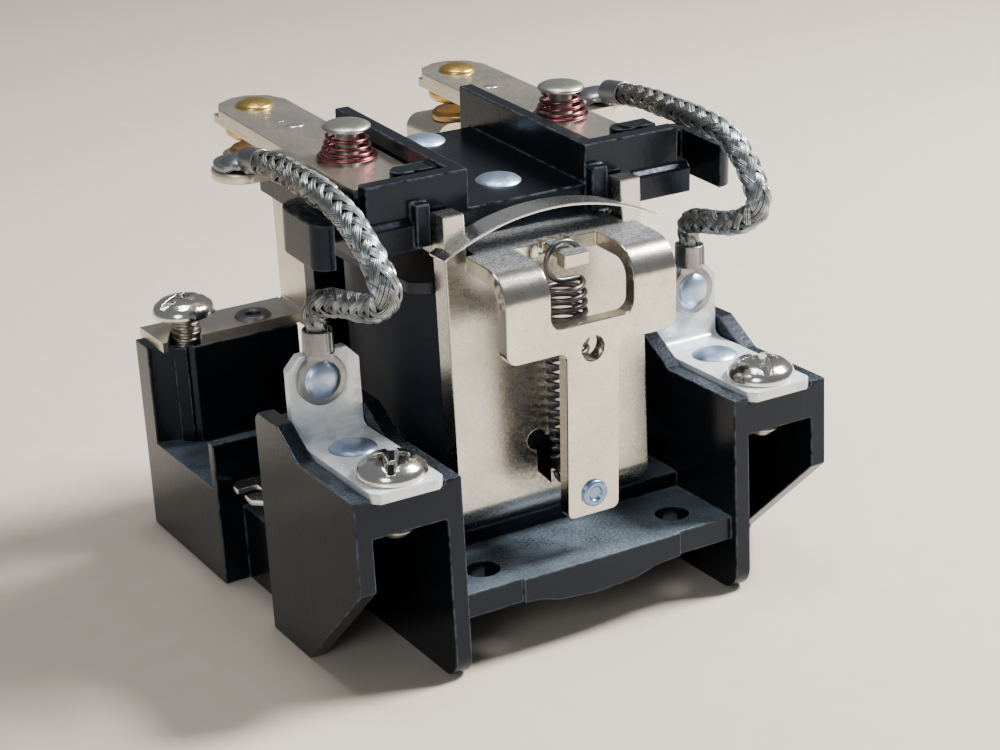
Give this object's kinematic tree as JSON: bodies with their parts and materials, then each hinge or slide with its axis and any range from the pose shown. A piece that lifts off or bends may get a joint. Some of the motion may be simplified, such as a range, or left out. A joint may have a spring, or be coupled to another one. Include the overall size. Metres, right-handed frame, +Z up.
{
  "type": "power relay",
  "caption": "Open-frame power relay with a hinged armature that carries contact blades over fixed contacts, a coil in an iron frame, braided pigtails and a moulded base with screw terminals.",
  "frame": {"origin": "centre of the base's footprint, on the surface that it stands on", "axes": "+X to the right and -Y to the front, where the hinged arm hangs; +Z up"},
  "size_m": [0.064, 0.065, 0.0591],
  "materials": {
    "phenolic": "satin moulded phenolic, charcoal black",
    "warm_nickel": "satin nickel plate with a warm cast",
    "core_iron": "plated soft iron",
    "bobbin_plastic": "black moulded plastic",
    "winding_tape": "dark wound tape",
    "tab_nickel": "bright nickel plate",
    "zinc_rivet": "bluish zinc plate",
    "dark_spring": "dark spring steel",
    "red_spring": "copper-red bronze wire",
    "contact_gold": "gold-coloured contact metal",
    "contact_copper": "copper-coloured contact metal",
    "pin_nickel": "dull nickel plate",
    "crimp_tin": "tinned crimp metal",
    "tinned_braid": "braid of tinned copper strands",
    "zinc_strip": "bluish bright zinc plate",
    "dark_rivet": "dark oxidised rivet",
    "screw_nickel": "bright nickel plate"
  },
  "bodies": {
    "base": {"base_block": "phenolic", "yoke_frame": "warm_nickel", "core_pole": "core_iron", "bobbin": "bobbin_plastic", "coil_winding": "winding_tape", "coil_terminal_left": "tab_nickel", "coil_terminal_right": "tab_nickel", "hinge_leaf": "tab_nickel", "return_spring": "dark_spring", "fixed_contact_left": "contact_copper", "fixed_contact_right": "contact_copper", "pigtail_left": "tinned_braid", "pigtail_right": "tinned_braid", "lower_lug_left": "crimp_tin", "lower_lug_right": "crimp_tin", "front_terminal_left": "zinc_strip", "front_terminal_right": "zinc_strip", "terminal_rivets": "zinc_rivet", "rear_strip_left": "warm_nickel", "rear_strip_right": "warm_nickel", "strip_rivets": "dark_rivet"},
    "armature": {"armature": "warm_nickel", "stem_rivet": "zinc_rivet", "contact_carrier": "phenolic", "carrier_rivets": "zinc_rivet", "spring_pin_left": "pin_nickel", "spring_pin_right": "pin_nickel", "contact_spring_left": "red_spring", "contact_spring_right": "red_spring"},
    "blade_left": {"blade_left": "warm_nickel", "moving_contact_left": "contact_gold", "upper_lug_left": "crimp_tin"},
    "blade_right": {"blade_right": "warm_nickel", "moving_contact_right": "contact_gold", "upper_lug_right": "crimp_tin"},
    "screw_front_left": {"screw_front_left": "screw_nickel"},
    "screw_front_right": {"screw_front_right": "screw_nickel"},
    "screw_rear_left": {"screw_rear_left": "screw_nickel"},
    "screw_rear_right": {"screw_rear_right": "screw_nickel"}
  },
  "joints": [
    {"name": "armature_pivot", "type": "hinge", "parent": "base", "child": "armature", "pos_m": [0, -0.0212, 0.0449], "axis": [1, 0, 0], "range_deg": [-3.4, 0], "stiffness_Nm_per_rad": 0.5, "springref_deg": 2.86, "deforming": ["return_spring", "pigtail_left", "pigtail_right"]},
    {"name": "blade_left_float", "type": "hinge", "parent": "armature", "child": "blade_left", "pos_m": [-0.01483, -0.01194, 0.05266], "axis": [1, 0, 0], "range_deg": [0, 3], "deforming": ["contact_spring_left"]},
    {"name": "blade_right_float", "type": "hinge", "parent": "armature", "child": "blade_right", "pos_m": [0.01483, -0.01194, 0.05266], "axis": [1, 0, 0], "range_deg": [0, 3], "deforming": ["contact_spring_right"]},
    {"name": "screw_front_left_out", "type": "slide", "parent": "base", "child": "screw_front_left", "axis": [0, 0, 1], "range_m": [0, 0.003]},
    {"name": "screw_front_right_out", "type": "slide", "parent": "base", "child": "screw_front_right", "axis": [0, 0, 1], "range_m": [0, 0.003]},
    {"name": "screw_rear_left_out", "type": "slide", "parent": "base", "child": "screw_rear_left", "axis": [0, 0, 1], "range_m": [-0.00235, 0.0005]},
    {"name": "screw_rear_right_out", "type": "slide", "parent": "base", "child": "screw_rear_right", "axis": [0, 0, 1], "range_m": [-0.00235, 0.0005]}
  ],
  "couplings": [
    {"joint": "blade_left_float", "follows": "armature_pivot", "ratio": -0.8227},
    {"joint": "blade_right_float", "follows": "armature_pivot", "ratio": -0.8227}
  ]
}
